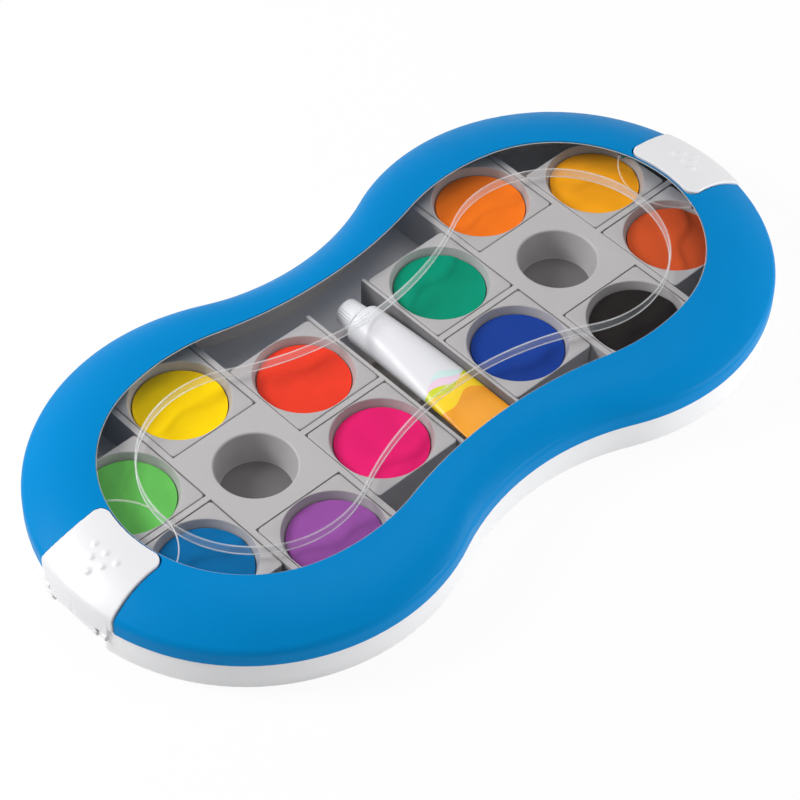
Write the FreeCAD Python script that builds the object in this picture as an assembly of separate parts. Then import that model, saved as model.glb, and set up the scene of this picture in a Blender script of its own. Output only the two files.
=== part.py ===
import FreeCAD, Part

import os
from math import atan2, cos, hypot, radians, sin, sqrt

V = FreeCAD.Vector

# Outlines: tangent arcs, each with an end arc set off from its mixing well, a shoulder and a waist.
OUTER_SHIFT = 2.4
OUTER_END_ROOM = 8.9
OUTER_SWEEP = 50.9
OUTER_SHOULDER_GAIN = 1.9
OUTER_WAIST_ROOM = 20.9
OPENING_SHIFT = 2.0
OPENING_SWEEP = 76.0
OPENING_SHOULDER_GAIN = 26.6
PALETTE_SHIFT = 0.6
PALETTE_SWEEP = 60.0
RING_END_WIDTH = 23.3
RING_WAIST_WIDTH = 15.9
PALETTE_END_ROOM = 10.5
PALETTE_WAIST_ROOM = 19.6

# Heights above the table.
BASE_FLOOR = 2.0
SPLIT_Z = 12.0
SKIRT_TOP_Z = 17.7
CROWN_Z = 25.6
PAN_TOP_Z = 18.5

# Base shell and the rim that the lid drops over.
BASE_INSET = 0.3
BASE_EDGE_R = 2.0
SKIRT_WALL = 1.6
RIM_GAP = 0.3
RIM_WALL = 1.0
RIM_HEIGHT = 1.7

# Lid frame and window.
CROWN_WALL = 2.2
FRAME_CREASE_R = 3.0
WINDOW_THICK = 1.5
WINDOW_DROP = 0.2
WINDOW_GAP = 0.1
WINDOW_FLANGE = 4.0
WINDOW_FLANGE_THICK = 1.0
WINDOW_SEAT = 0.9
WINDOW_EDGE_R = 0.5
FLANGE_BREAK_GAP = 0.5
PALETTE_RIB_WIDTH = 0.8
PALETTE_RIB_DEPTH = 3.6
END_RIB_WIDTH = 0.6
END_RIB_REACH_Y = 16.4
END_RIB_BOW = 2.0
END_RIB_DEPTH = 1.3

# Paint pans: a centre column of two and a pair on either side of each mixing well.
PITCH = 36.0
CHANNEL_HALF = 11.6
RIB = 2.0
PAN_GAP = 0.4
PAN_CORNER_R = 1.0
PAN_DRAFT = 0.4
CUP_LIP = 0.3
CUP_FLARE = 0.8
CUP_TAPER = 0.8
CUP_FLOOR_Z = 8.4
CUP_FLOOR_THICK = 1.4
PAN_SKIRT = 1.2
PAINT_TOP_Z = 16.5
PAINT_GAP = 0.4
PAINT_EDGE = 0.5
COLOURS = {
    (-1, 0, 1): "yellow",
    (-1, 0, -1): "violet",
    (-1, 1, 1): "red",
    (-1, 1, -1): "magenta",
    (-1, -1, 1): "light_green",
    (-1, -1, -1): "cyan",
    (1, 0, 1): "orange",
    (1, 0, -1): "black",
    (1, -1, 1): "emerald",
    (1, -1, -1): "ultramarine",
    (1, 1, 1): "ochre",
    (1, 1, -1): "russet",
}

# Tray.
TRAY_GAP = 0.4
TRAY_WALL = 1.2
TRAY_FLOOR = 1.4
TRAY_WALL_TOP = 12.0
TRAY_TALL_INSET = 12.0
WELL_TOP_R = 13.1
WELL_FLOOR_R = 11.5
WELL_FLOOR_Z = 6.7
WELL_WALL = 1.4
WELL_EDGE_R = 0.8
RIB_GAP = 0.3
SADDLE_FAR_Y = 16.0
SADDLE_NEAR_Y = -8.0
SADDLE_WIDTH = 2.0
SADDLE_GAP = 0.3

# Paint tube, lying along Y.
TUBE_X = 2.4
TUBE_Z = 12.9
TUBE_TAIL_X = 0.7
TUBE_TAIL_Z = 16.0
TUBE_R = 7.1
TUBE_SHOULDER_Y = 24.6
TUBE_FLAT_Y = -36.5
TUBE_FLAT_WIDTH = 19.2
TUBE_FLAT_THICK = 1.4
TUBE_CRIMP = 3.6
TUBE_CRIMP_THICK = 2.0
NECK_R = 3.2
NECK_LENGTH = 5.0
NECK_FLARE = 0.6
SHOULDER_LENGTH = 1.4
CAP_R = 5.0
CAP_TIP_R = 4.5
CAP_LENGTH = 7.4
CAP_GAP = 0.3
CAP_TOP = 1.4
CAP_EDGE_R = 0.8

# Swing clips at both ends and their hinges in the base.
CLIP_PROUD = 0.7
CLIP_FACE_PROUD = 0.4
CLIP_THICK = 2.0
CLIP_GAP = 0.3
CLIP_SIDE_GAP = 0.4
CLIP_WALL_GAP = 0.7
CLIP_NOSE_LAND = 0.5
CLIP_NOSE_HALF = 14.8
CLIP_WAIST_HALF = 14.7
CLIP_HEEL_HALF = 16.3
CLIP_CORNER_R = 3.6
CLIP_HEEL_R = 2.4
CLIP_FLAP_Z = 12.7
CLIP_TAB_HALF = 13.9
HINGE_Z = 8.0
BARREL_R = 2.0
BARREL_HALF = 8.2
LUG_GAP = 0.3
LUG_WIDTH = 5.8
LUG_R = 2.1
TRUNNION_R = 1.0
TRUNNION_FIT = 0.1
TRUNNION_END_GAP = 0.2
CLIP_TAB_GAP = 0.6
NOTCH_HALF = 14.5
NOTCH_DEPTH = 5.5
NOTCH_CORNER_R = 3.0
PAD_WALL = 2.0
SILL_GAP = 0.2
DOT_R = 1.15
DOT_RISE = 0.45
DOT_PITCH_Y = 5.0
DOT_PITCH_X = 3.5
DOT_SETBACK = 9.3

PAN_HALF = (PITCH - RIB) / 2 - PAN_GAP
CUP_TOP_R = PAN_HALF - CUP_LIP
CUP_FLARE_R = CUP_TOP_R - CUP_FLARE
CUP_FLOOR_R = CUP_FLARE_R - CUP_TAPER
WELL_X = 1.5 * PITCH + CHANNEL_HALF
OUTER_END_X = WELL_X + OUTER_SHIFT
OUTER_END_R = hypot(PITCH + PAN_HALF - OUTER_SHIFT, PITCH / 2 + PAN_HALF) + OUTER_END_ROOM
OUTER_WAIST = PITCH / 2 + PAN_HALF + OUTER_WAIST_ROOM
END_X = OUTER_END_X + OUTER_END_R
NOSE_X = END_X - RING_END_WIDTH
OPENING_END_X = WELL_X + OPENING_SHIFT
OPENING_END_R = NOSE_X - OPENING_END_X
OPENING_WAIST = OUTER_WAIST - RING_WAIST_WIDTH
PALETTE_END_X = WELL_X + PALETTE_SHIFT
PALETTE_END_R = OPENING_END_R - PALETTE_END_ROOM
PALETTE_WAIST = OPENING_WAIST - PALETTE_WAIST_ROOM
OUTER_SHOULDER_R = OUTER_END_R + OUTER_SHOULDER_GAIN
OPENING_SHOULDER_R = OPENING_END_R + OPENING_SHOULDER_GAIN
OUTER = (OUTER_END_X, OUTER_END_R, OUTER_SWEEP, OUTER_SHOULDER_R, OUTER_WAIST)
OPENING = (OPENING_END_X, OPENING_END_R, OPENING_SWEEP, OPENING_SHOULDER_R, OPENING_WAIST)
PALETTE = (PALETTE_END_X, PALETTE_END_R, PALETTE_SWEEP, PALETTE_END_R, PALETTE_WAIST)
CROWN_SPAN = RING_END_WIDTH
CROWN_RISE = CROWN_Z - SKIRT_TOP_Z
CROWN_R = (CROWN_SPAN**2 + CROWN_RISE**2) / (2 * CROWN_RISE)
CROWN_CENTRE = V(NOSE_X, 0, CROWN_Z - CROWN_R)
BASE_INNER = SKIRT_WALL + RIM_GAP + RIM_WALL
BASE_WALL = BASE_INNER - BASE_INSET
TRAY_OUTER = BASE_INNER + TRAY_GAP
TRAY_FLOOR_Z = BASE_FLOOR + TRAY_FLOOR
CLIP_FACE_X = END_X + CLIP_FACE_PROUD
CLIP_INNER_X = CLIP_FACE_X - CLIP_THICK
HINGE_X = CLIP_FACE_X - BARREL_R
CAP_SEAT_Y = TUBE_SHOULDER_Y + SHOULDER_LENGTH
NOTCH_X = END_X - NOTCH_DEPTH
LUG_REACH = BARREL_HALF + LUG_GAP + LUG_WIDTH
SILL_Z = SPLIT_Z + SILL_GAP
SEAT_HALF = CLIP_HEEL_HALF + CLIP_SIDE_GAP + PAD_WALL


def arc(a, b, c):
    return Part.Arc(a, b, c).toShape()


def line(a, b):
    return Part.LineSegment(a, b).toShape()


def outline(spec, inset=0.0, z=0.0):
    """Closed two-lobed wire of tangent arcs, drawn in by inset."""
    end_x, end_r, sweep, shoulder_r, waist = spec
    end_r -= inset
    shoulder_r -= inset
    waist -= inset
    t = radians(sweep)
    sx = end_x + (end_r - shoulder_r) * cos(t)
    sy = (end_r - shoulder_r) * sin(t)
    rise = waist - sy
    waist_r = (sx**2 + rise**2 - shoulder_r**2) / (2 * (shoulder_r - rise))
    centre_y = waist + waist_r
    reach = hypot(sx, centre_y - sy)
    a = (end_x + end_r * cos(t), end_r * sin(t))
    last = atan2(centre_y - sy, -sx)
    m = (sx + shoulder_r * cos((t + last) / 2), sy + shoulder_r * sin((t + last) / 2))
    b = (sx - shoulder_r * sx / reach, sy + shoulder_r * (centre_y - sy) / reach)

    def at(p, fx, fy):
        return V(fx * p[0], fy * p[1], z)

    tip = (end_x + end_r, 0)
    dip = (0, waist)
    edges = [
        arc(at(a, 1, -1), at(tip, 1, 1), at(a, 1, 1)),
        arc(at(a, 1, 1), at(m, 1, 1), at(b, 1, 1)),
        arc(at(b, 1, 1), at(dip, 1, 1), at(b, -1, 1)),
        arc(at(b, -1, 1), at(m, -1, 1), at(a, -1, 1)),
        arc(at(a, -1, 1), at(tip, -1, 1), at(a, -1, -1)),
        arc(at(a, -1, -1), at(m, -1, -1), at(b, -1, -1)),
        arc(at(b, -1, -1), at(dip, -1, -1), at(b, 1, -1)),
        arc(at(b, 1, -1), at(m, 1, -1), at(a, 1, -1)),
    ]
    return Part.Wire(edges)


def slab(spec, inset, low, high):
    """Prism of an outline between two heights."""
    return Part.Face(outline(spec, inset, low)).extrude(V(0, 0, high - low))


def block(x0, x1, y0, y1, z0, z1):
    return Part.makeBox(x1 - x0, y1 - y0, z1 - z0, V(x0, y0, z0))


def between(share):
    """Outline part of the way from the outer edge of the lid frame to its opening."""
    return tuple(a + (b - a) * share for a, b in zip(OUTER, OPENING))


def crown_height(share):
    run = CROWN_SPAN * (1 - share)
    return CROWN_CENTRE.z + sqrt(CROWN_R**2 - run**2)


def crown(inset, drop):
    """Domed solid under the crown of the lid frame, drawn in and lowered."""
    wires = []
    for share in (0.0, 0.25, 0.5, 0.75, 1.0):
        wires.append(outline(between(share), inset * (1 - share), crown_height(share) - drop))
    return Part.makeLoft(wires, True, False)


def mirror_x(shape):
    return shape.mirror(V(0, 0, 0), V(1, 0, 0))


def both_ends(shape):
    return [shape, mirror_x(shape)]


def fuse_all(shapes):
    return shapes[0].multiFuse(shapes[1:]).removeSplitter()


def cylinder_y(radius, y0, y1, x, z):
    return Part.makeCylinder(radius, y1 - y0, V(x, y0, z), V(0, 1, 0))


def end_notch(grow=0.0):
    """Flat-backed notch in the end of the base, with rounded corners, or the same grown by a wall."""
    half = NOTCH_HALF + grow
    cut = block(NOTCH_X - grow, END_X + 20, -half, half, -1, SPLIT_Z + 20)
    upright = [e for e in cut.Edges if abs(e.Vertexes[0].X - e.Vertexes[-1].X) < 0.01
               and abs(e.Vertexes[0].Y - e.Vertexes[-1].Y) < 0.01
               and e.Vertexes[0].X < NOTCH_X + 0.01]
    return cut.makeFillet(NOTCH_CORNER_R, upright)


def hinge_lug(side):
    """Ear that carries one trunnion of a clip, standing out from the back of the notch."""
    y0 = side * (BARREL_HALF + LUG_GAP)
    y1 = side * LUG_REACH
    low, high = min(y0, y1), max(y0, y1)
    ear = cylinder_y(LUG_R, low, high, HINGE_X, HINGE_Z)
    root = block(NOTCH_X - 1, HINGE_X, low, high, HINGE_Z - LUG_R, HINGE_Z + LUG_R)
    return ear.fuse(root)


def base_shell():
    body = slab(OUTER, BASE_INSET, 0, SPLIT_Z)
    foot = [e for e in body.Edges if max(v.Z for v in e.Vertexes) < 0.01]
    body = body.makeFillet(BASE_EDGE_R, foot)
    rim_inset = SKIRT_WALL + RIM_GAP
    body = body.fuse(slab(OUTER, rim_inset, SPLIT_Z - 1, SPLIT_Z + RIM_HEIGHT))
    hollow = slab(OUTER, BASE_INNER, BASE_FLOOR, SPLIT_Z + 10)
    for keep in both_ends(end_notch(BASE_WALL)):
        hollow = hollow.cut(keep)
    body = body.cut(hollow)
    for cut in both_ends(end_notch()):
        body = body.cut(cut)
    half = SEAT_HALF + RIM_GAP
    rim_break = block(NOTCH_X - 8, END_X + 5, -half, half, SPLIT_Z, SPLIT_Z + 10)
    for cut in both_ends(rim_break):
        body = body.cut(cut)
    lugs = fuse_all([hinge_lug(1), hinge_lug(-1)])
    bore = cylinder_y(TRUNNION_R + TRUNNION_FIT, -LUG_REACH - 1, LUG_REACH + 1, HINGE_X, HINGE_Z)
    for ears in both_ends(lugs.cut(bore)):
        body = body.fuse(ears)
    return body.removeSplitter()


def cell_centre(key):
    lobe, column, row = key
    y = row * PITCH if column == 0 else row * PITCH / 2
    return lobe * WELL_X + column * PITCH, y


def square(half, z, x, y, corner):
    """Rounded square wire about a point."""
    h = half - corner
    k = half - corner * (1 - sqrt(0.5))
    edges = []
    for fx, fy, gx, gy in ((1, 1, -1, 1), (-1, 1, -1, -1), (-1, -1, 1, -1), (1, -1, 1, 1)):
        start = V(x + fx * half, y + fy * h, z) if fx * fy > 0 else V(x + fx * h, y + fy * half, z)
        end = V(x + fx * h, y + fy * half, z) if fx * fy > 0 else V(x + fx * half, y + fy * h, z)
        edges.append(arc(start, V(x + fx * k, y + fy * k, z), end))
        after = V(x + gx * h, y + gy * half, z) if gx * gy < 0 else V(x + gx * half, y + gy * h, z)
        edges.append(line(end, after))
    return Part.Wire(edges)


def cone_z(r_low, r_high, low, high, x, y):
    return Part.makeCone(r_low, r_high, high - low, V(x, y, low), V(0, 0, 1))


def mixing_well(lobe):
    """Round drafted cup under a square top that lies between the ribs of one lobe."""
    x = lobe * WELL_X
    side = (PITCH - RIB) / 2
    body = block(x - side, x + side, -side, side, PAN_TOP_Z - WELL_WALL, PAN_TOP_Z)
    low = WELL_FLOOR_Z - WELL_WALL
    body = body.fuse(cone_z(WELL_FLOOR_R + WELL_WALL, WELL_TOP_R + WELL_WALL, low, PAN_TOP_Z, x, 0))
    body = body.cut(cone_z(WELL_FLOOR_R, WELL_TOP_R, WELL_FLOOR_Z, PAN_TOP_Z, x, 0)).removeSplitter()
    rim = [e for e in body.Edges if e.BoundBox.ZMin > PAN_TOP_Z - 0.01 and e.BoundBox.XLength > WELL_TOP_R
           and e.BoundBox.YLength > WELL_TOP_R]
    return body.makeFillet(WELL_EDGE_R, rim)


def tray_ribs(lobe):
    """Partition walls of one lobe: about the mixing well, between paired pans and along the tube."""
    half = RIB / 2
    well = lobe * WELL_X
    walls = []

    def wall(x0, x1, y0, y1):
        walls.append(block(min(x0, x1), max(x0, x1), y0, y1, TRAY_FLOOR_Z, PAN_TOP_Z))

    for side in (-1, 1):
        x = well + side * PITCH / 2
        y = side * PITCH / 2
        wall(x - half, x + half, -OUTER_END_R, OUTER_END_R)
        wall(well - PITCH / 2, well + PITCH / 2, y - half, y + half)
    channel = lobe * CHANNEL_HALF
    wall(well - lobe * PITCH / 2, channel, -half, half)
    wall(well + lobe * PITCH / 2, lobe * END_X, -half, half)
    wall(channel - half, channel + half, -PITCH, PITCH)
    low_room = slab(OUTER, TRAY_OUTER + TRAY_WALL + RIB_GAP, 0, TRAY_WALL_TOP)
    room = low_room.fuse(slab(OUTER, TRAY_TALL_INSET, 0, PAN_TOP_Z + 1))
    ribs = fuse_all(walls).common(room)
    for cut in both_ends(end_notch(BASE_WALL + TRAY_GAP + TRAY_WALL + RIB_GAP)):
        ribs = ribs.cut(cut)
    return ribs.removeSplitter()


def tube_run(y):
    """Share of the way from the tube's shoulder to its flat tail."""
    run = (TUBE_SHOULDER_Y - y) / (TUBE_SHOULDER_Y - TUBE_FLAT_Y)
    return min(max(run, 0.0), 1.0)


def tube_half_height(y):
    """Half height of the tube body, round at the shoulder and pressed flat at its tail."""
    return TUBE_R + (TUBE_FLAT_THICK / 2 - TUBE_R) * tube_run(y)**1.35


def tube_half_width(y):
    return TUBE_R + (TUBE_FLAT_WIDTH / 2 - TUBE_R) * tube_run(y)**1.6


def tube_centre(y):
    """Middle of the tube at one station: straight at the shoulder, its tail lifted to one side."""
    bend = tube_run(y)**2
    return V(TUBE_X + (TUBE_TAIL_X - TUBE_X) * bend, y, TUBE_Z + (TUBE_TAIL_Z - TUBE_Z) * bend)


def tube_saddle(y):
    """Cross wall in the channel between the pans that the tube lies on."""
    reach = CHANNEL_HALF - RIB / 2
    half = SADDLE_WIDTH / 2
    top = tube_centre(y).z - tube_half_height(y - half) - SADDLE_GAP
    return block(-reach, reach, y - half, y + half, TRAY_FLOOR_Z, top)


def pan_tray():
    """Floor of the tray and the wall round it, stepped in at both ends to pass the notches."""
    floor = slab(OUTER, TRAY_OUTER, BASE_FLOOR, TRAY_FLOOR_Z)
    wall = slab(OUTER, TRAY_OUTER, BASE_FLOOR, TRAY_WALL_TOP)
    wall = wall.cut(slab(OUTER, TRAY_OUTER + TRAY_WALL, 0, TRAY_WALL_TOP + 1))
    tray = fuse_all([floor, wall])
    ends = []
    for cut in both_ends(end_notch(BASE_WALL + TRAY_GAP)):
        back = slab(OUTER, TRAY_OUTER, BASE_FLOOR, TRAY_WALL_TOP).cut(cut)
        ends.append(back.common(end_wall_zone(cut)))
        tray = tray.cut(cut)
    return fuse_all([tray] + ends)


def end_wall_zone(cut):
    """Strip just inside the end notch, where the wall of the tray steps in to pass it."""
    box = cut.BoundBox
    side = 1 if box.XMax > 0 else -1
    near = side * (NOTCH_X - BASE_WALL - TRAY_GAP)
    far = near - side * TRAY_WALL
    half = NOTCH_HALF + BASE_WALL + TRAY_GAP + TRAY_WALL
    strip = block(min(near, far), max(near, far), -half, half, BASE_FLOOR, TRAY_WALL_TOP)
    outer = side * (END_X + 10)
    for y in (-1, 1):
        y0 = y * (half - TRAY_WALL)
        y1 = y * half
        leg = block(min(far, outer), max(far, outer), min(y0, y1), max(y0, y1), BASE_FLOOR, TRAY_WALL_TOP)
        strip = strip.fuse(leg)
    return strip


def pan(key):
    x, y = cell_centre(key)
    low = square(PAN_HALF - PAN_DRAFT, TRAY_FLOOR_Z, x, y, PAN_CORNER_R)
    high = square(PAN_HALF, PAN_TOP_Z, x, y, PAN_CORNER_R)
    body = Part.makeLoft([low, high], True, True)
    body = body.cut(cone_z(CUP_FLOOR_R, CUP_FLARE_R, CUP_FLOOR_Z, PAINT_TOP_Z, x, y))
    body = body.cut(cone_z(CUP_FLARE_R, CUP_TOP_R, PAINT_TOP_Z, PAN_TOP_Z, x, y))
    half = PAN_HALF - PAN_DRAFT - PAN_SKIRT
    under = Part.Face(square(half, TRAY_FLOOR_Z - 1, x, y, PAN_CORNER_R))
    return body.cut(under.extrude(V(0, 0, CUP_FLOOR_Z - CUP_FLOOR_THICK - TRAY_FLOOR_Z + 1)))


def paint(key):
    """Round tablet of paint standing in its pan."""
    x, y = cell_centre(key)
    tablet = cone_z(CUP_FLOOR_R - PAINT_GAP, CUP_FLARE_R - PAINT_GAP, CUP_FLOOR_Z, PAINT_TOP_Z, x, y)
    rim = [e for e in tablet.Edges if e.BoundBox.ZMin > PAINT_TOP_Z - 0.01]
    return tablet.makeChamfer(PAINT_EDGE, rim)


def oval(y, half_width, half_height):
    """Section across the tube at one station: a circle, or an ellipse where it is pressed flat."""
    if half_width > half_height:
        edge = Part.Ellipse(V(0, 0, 0), half_width, half_height).toShape()
    else:
        edge = Part.Circle(V(0, 0, 0), V(0, 0, 1), half_height).toShape()
    edge.rotate(V(0, 0, 0), V(1, 0, 0), 90)
    edge.translate(tube_centre(y))
    return Part.Wire([edge])


def tube_body():
    run = TUBE_SHOULDER_Y - TUBE_FLAT_Y
    stations = [TUBE_SHOULDER_Y - run * share for share in (0.0, 0.2, 0.45, 0.7, 0.88, 1.0)]
    skin = Part.makeLoft([oval(y, tube_half_width(y), tube_half_height(y)) for y in stations], True, False)
    half = TUBE_FLAT_WIDTH / 2
    tail = TUBE_TAIL_Z - TUBE_CRIMP_THICK / 2
    crimp = block(TUBE_TAIL_X - half, TUBE_TAIL_X + half, TUBE_FLAT_Y - TUBE_CRIMP, TUBE_FLAT_Y + 0.3,
                  tail, tail + TUBE_CRIMP_THICK)
    start = V(TUBE_X, TUBE_SHOULDER_Y, TUBE_Z)
    shoulder = Part.makeCone(TUBE_R, NECK_R + NECK_FLARE, SHOULDER_LENGTH, start, V(0, 1, 0))
    neck = cylinder_y(NECK_R, CAP_SEAT_Y - 0.5, CAP_SEAT_Y + NECK_LENGTH, TUBE_X, TUBE_Z)
    return fuse_all([skin, crimp, shoulder, neck])


def tube_cap():
    start = CAP_SEAT_Y + CAP_GAP
    end = start + CAP_LENGTH
    profile = Part.makePolygon([
        V(0, start, 0), V(CAP_R, start, 0), V(CAP_TIP_R, end, 0), V(0, end, 0), V(0, start, 0)])
    body = Part.Face(profile).revolve(V(0, 0, 0), V(0, 1, 0), 360)
    tip = [e for e in body.Edges if e.BoundBox.YMin > end - 0.01 and e.BoundBox.XLength > CAP_TIP_R]
    body = body.makeFillet(CAP_EDGE_R, tip)
    body.translate(V(TUBE_X, 0, TUBE_Z))
    return body.cut(cylinder_y(NECK_R + CAP_GAP, start - 1, end - CAP_TOP, TUBE_X, TUBE_Z))


def crown_point(radius, x):
    """Point of the crown's section in the XZ plane, on a circle about its centre."""
    run = x - CROWN_CENTRE.x
    return V(x, 0, CROWN_CENTRE.z + sqrt(radius**2 - run**2))


def sweep_round(profile, half_angle=22.0):
    """Solid of a section in the XZ plane, turned about the axis of the end lobe."""
    face = Part.Face(Part.Wire(profile))
    axis = V(OUTER_END_X, 0, 0)
    face.rotate(axis, V(0, 0, 1), -half_angle)
    return face.revolve(axis, V(0, 0, 1), 2 * half_angle)


def clip_plan(grow, low, high):
    """Prism of a clip's outline from above: hollow nose, slightly waisted sides, open heel."""
    nose_r = OPENING_END_R + CLIP_NOSE_LAND - grow
    nose_half = CLIP_NOSE_HALF + grow
    heel_half = CLIP_HEEL_HALF + grow
    nose_x = OPENING_END_X + sqrt(nose_r**2 - nose_half**2)
    heel_x = END_X - 2
    mid_x = (nose_x + heel_x) / 2
    mid_half = CLIP_WAIST_HALF + grow
    out_x = END_X + 20
    edges = [
        arc(V(nose_x, -nose_half, low), V(OPENING_END_X + nose_r, 0, low), V(nose_x, nose_half, low)),
        arc(V(nose_x, nose_half, low), V(mid_x, mid_half, low), V(heel_x, heel_half, low)),
        line(V(heel_x, heel_half, low), V(out_x, heel_half, low)),
        line(V(out_x, heel_half, low), V(out_x, -heel_half, low)),
        line(V(out_x, -heel_half, low), V(heel_x, -heel_half, low)),
        arc(V(heel_x, -heel_half, low), V(mid_x, -mid_half, low), V(nose_x, -nose_half, low)),
    ]
    prism = Part.Face(Part.Wire(edges)).extrude(V(0, 0, high - low))
    corners = []
    for e in prism.Edges:
        box = e.BoundBox
        if box.ZLength > 1 and abs(box.XMin - nose_x) < 0.01 and abs(abs(box.YMin) - nose_half) < 0.01:
            corners.append(e)
    return prism.makeFillet(CLIP_CORNER_R, corners)


def over_crown(radius, wall_x, low, nose_x, top):
    """Section of all that lies outside a seat on the crown: above an arc and beyond an upright."""
    a = crown_point(radius, nose_x)
    b = crown_point(radius, (nose_x + wall_x) / 2)
    c = crown_point(radius, wall_x)
    far = END_X + 12
    return [
        arc(a, b, c),
        line(c, V(wall_x, 0, low)),
        line(V(wall_x, 0, low), V(far, 0, low)),
        line(V(far, 0, low), V(far, 0, top)),
        line(V(far, 0, top), V(nose_x, 0, top)),
        line(V(nose_x, 0, top), a),
    ]


def grip_dots():
    """Raised dots in rows of three, two and one, pointing outward."""
    dots = []
    sphere_r = (DOT_R**2 + DOT_RISE**2) / (2 * DOT_RISE)
    for row, count in enumerate((3, 2, 1)):
        x = NOSE_X + DOT_SETBACK + row * DOT_PITCH_X
        for i in range(count):
            y = (i - (count - 1) / 2) * DOT_PITCH_Y
            reach = hypot(x - OUTER_END_X, y) + OUTER_END_X
            top = crown_point(CROWN_R + CLIP_PROUD, reach).z + DOT_RISE
            dot = Part.makeSphere(sphere_r, V(x, y, top - sphere_r))
            dots.append(dot.common(block(x - 2, x + 2, y - 2, y + 2, top - DOT_RISE - 0.8, top + 1)))
    return dots


def clip_solid():
    nose_x = NOSE_X - 6
    outer_r = CROWN_R + CLIP_PROUD
    shell = sweep_round(over_crown(outer_r - CLIP_THICK, CLIP_INNER_X, HINGE_Z, nose_x, CROWN_Z + 12))
    shed = sweep_round(over_crown(outer_r, CLIP_FACE_X, HINGE_Z - 1, nose_x - 1, CROWN_Z + 14))
    shell = shell.cut(shed)
    heel_z = crown_point(outer_r, CLIP_FACE_X).z
    heel = [e for e in shell.Edges if abs(e.BoundBox.ZMin - heel_z) < 0.01 and e.BoundBox.ZLength < 0.01
            and e.BoundBox.YLength > 10]
    shell = shell.makeFillet(CLIP_HEEL_R, heel)
    flap = shell.common(clip_plan(0, CLIP_FLAP_Z, CROWN_Z + 10))
    tab_low = HINGE_Z + LUG_R + CLIP_TAB_GAP
    tab = shell.common(block(NOTCH_X, END_X + 5, -CLIP_TAB_HALF, CLIP_TAB_HALF, tab_low, CLIP_FLAP_Z + 0.5))
    root = shell.common(block(NOTCH_X, END_X + 5, -BARREL_HALF, BARREL_HALF, HINGE_Z, tab_low + 0.5))
    barrel = cylinder_y(BARREL_R, -BARREL_HALF, BARREL_HALF, HINGE_X, HINGE_Z)
    reach = LUG_REACH - TRUNNION_END_GAP
    trunnion = cylinder_y(TRUNNION_R, -reach, reach, HINGE_X, HINGE_Z)
    return fuse_all([flap, tab, root, barrel, trunnion] + grip_dots())


def clip_seat():
    """Recess in the lid frame that a clip lies in, and the backing that closes it underneath."""
    seat_r = CROWN_R + CLIP_PROUD - CLIP_THICK - CLIP_GAP
    wall_x = CLIP_INNER_X - CLIP_WALL_GAP
    nose_x = NOSE_X - 8
    tool = sweep_round(over_crown(seat_r, wall_x, SPLIT_Z - 2, nose_x, CROWN_Z + 12))
    recess = tool.common(clip_plan(CLIP_SIDE_GAP, SPLIT_Z - 2, CROWN_Z + 12))
    back = sweep_round(over_crown(seat_r - PAD_WALL, wall_x - PAD_WALL, SILL_Z, nose_x, CROWN_Z + 12))
    pad = back.common(clip_plan(CLIP_SIDE_GAP + PAD_WALL, SILL_Z, CROWN_Z + 12))
    half = SEAT_HALF
    sill = block(NOTCH_X - BASE_WALL, wall_x, -half, half, SILL_Z, SILL_Z + PAD_WALL)
    return recess, pad.fuse(sill)


def lid_frame():
    dome = slab(OUTER, 0, SPLIT_Z, SKIRT_TOP_Z).fuse(crown(0, 0)).removeSplitter()
    crease = [e for e in dome.Edges if abs(e.BoundBox.ZMin - SKIRT_TOP_Z) < 0.05
              and e.BoundBox.ZLength < 0.1]
    dome = dome.makeFillet(FRAME_CREASE_R, crease)
    hollow = slab(OUTER, SKIRT_WALL, SPLIT_Z - 1, SKIRT_TOP_Z - CROWN_WALL)
    hollow = hollow.fuse(crown(SKIRT_WALL, CROWN_WALL))
    recess, pad = clip_seat()
    for backing in both_ends(pad):
        hollow = hollow.cut(backing)
    frame = dome.cut(hollow)
    frame = frame.cut(slab(OPENING, 0, 0, 60))
    for cut in both_ends(recess):
        frame = frame.cut(cut)
    return frame.removeSplitter()


def end_rib(side):
    """Thin curved rib under the window from the tip of the palette rib out to the frame."""
    low = CROWN_Z - WINDOW_DROP - WINDOW_THICK - END_RIB_DEPTH
    tip = V(PALETTE_END_X + PALETTE_END_R - PALETTE_RIB_WIDTH / 2, 0, low)
    far = V(OPENING_END_X + sqrt(OPENING_END_R**2 - END_RIB_REACH_Y**2), END_RIB_REACH_Y, low)
    mid = V(tip.x + END_RIB_BOW, END_RIB_REACH_Y / 2, low)
    curve = Part.Arc(tip, mid, far)
    start = curve.toShape()
    inner = start.makeOffset2D(END_RIB_WIDTH / 2, openResult=True, fill=False)
    outer = start.makeOffset2D(-END_RIB_WIDTH / 2, openResult=True, fill=False)
    a, b = inner.Vertexes[0].Point, inner.Vertexes[-1].Point
    c, d = outer.Vertexes[0].Point, outer.Vertexes[-1].Point
    if (a - c).Length > (a - d).Length:
        c, d = d, c
    face = Part.Face(Part.Wire(Part.__sortEdges__(inner.Edges + outer.Edges + [line(a, c), line(b, d)])))
    rib = face.extrude(V(0, 0, END_RIB_DEPTH + 0.5))
    return rib if side > 0 else rib.mirror(V(0, 0, 0), V(0, 1, 0))


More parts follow.
